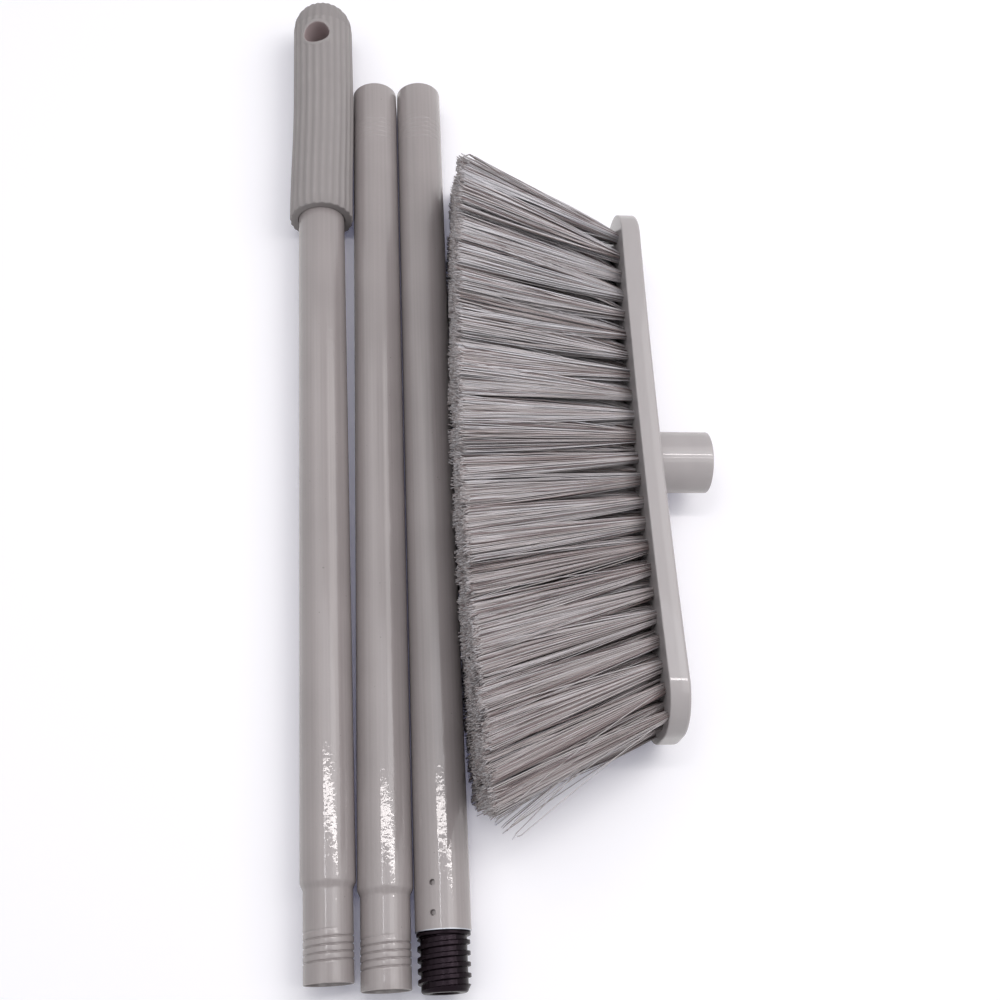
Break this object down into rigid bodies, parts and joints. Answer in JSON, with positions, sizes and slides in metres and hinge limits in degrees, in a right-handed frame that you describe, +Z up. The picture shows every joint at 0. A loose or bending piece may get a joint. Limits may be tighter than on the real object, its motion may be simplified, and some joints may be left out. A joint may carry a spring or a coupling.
{
  "type": "long-handled broom",
  "caption": "Indoor broom with a screw-together tubular pole, ribbed hanging grip, threaded plug, and a socketed block of fanned bristles, laid out in pieces.",
  "frame": {"origin": "on the floor, below the centre of the box round all the pieces as they lie", "axes": "+Y along the pole sections, towards the hanging grip; +X across them, towards the head's socket; +Z up"},
  "size_m": [0.1898, 0.487, 0.0554],
  "materials": {
    "coated_steel": "glossy greige coating on thin steel tube",
    "grip_plastic": "matte moulded, ribbed",
    "plug_plastic": "satin black moulded",
    "head_plastic": "satin pale grey moulded",
    "bristle_filament": "fine grey filament with a soft sheen"
  },
  "bodies": {
    "lower_section": {"lower_tube": "coated_steel", "threaded_plug": "plug_plastic"},
    "middle_section": {"middle_tube": "coated_steel"},
    "upper_section": {"upper_tube": "coated_steel", "grip": "grip_plastic"},
    "head": {"head_block": "head_plastic", "bristle_row_1": "bristle_filament", "bristle_row_2": "bristle_filament", "bristle_row_3": "bristle_filament", "bristle_row_4": "bristle_filament", "bristle_row_5": "bristle_filament", "bristle_row_6": "bristle_filament"}
  },
  "joints": [
    {"name": "middle_lift", "type": "slide", "parent": "lower_section", "child": "middle_section", "axis": [0, 0, 1], "range_m": [0, 0.08]},
    {"name": "upper_lift", "type": "slide", "parent": "lower_section", "child": "upper_section", "axis": [0, 0, 1], "range_m": [0, 0.08]},
    {"name": "head_lift", "type": "slide", "parent": "lower_section", "child": "head", "axis": [0, 0, 1], "range_m": [0, 0.08]}
  ]
}
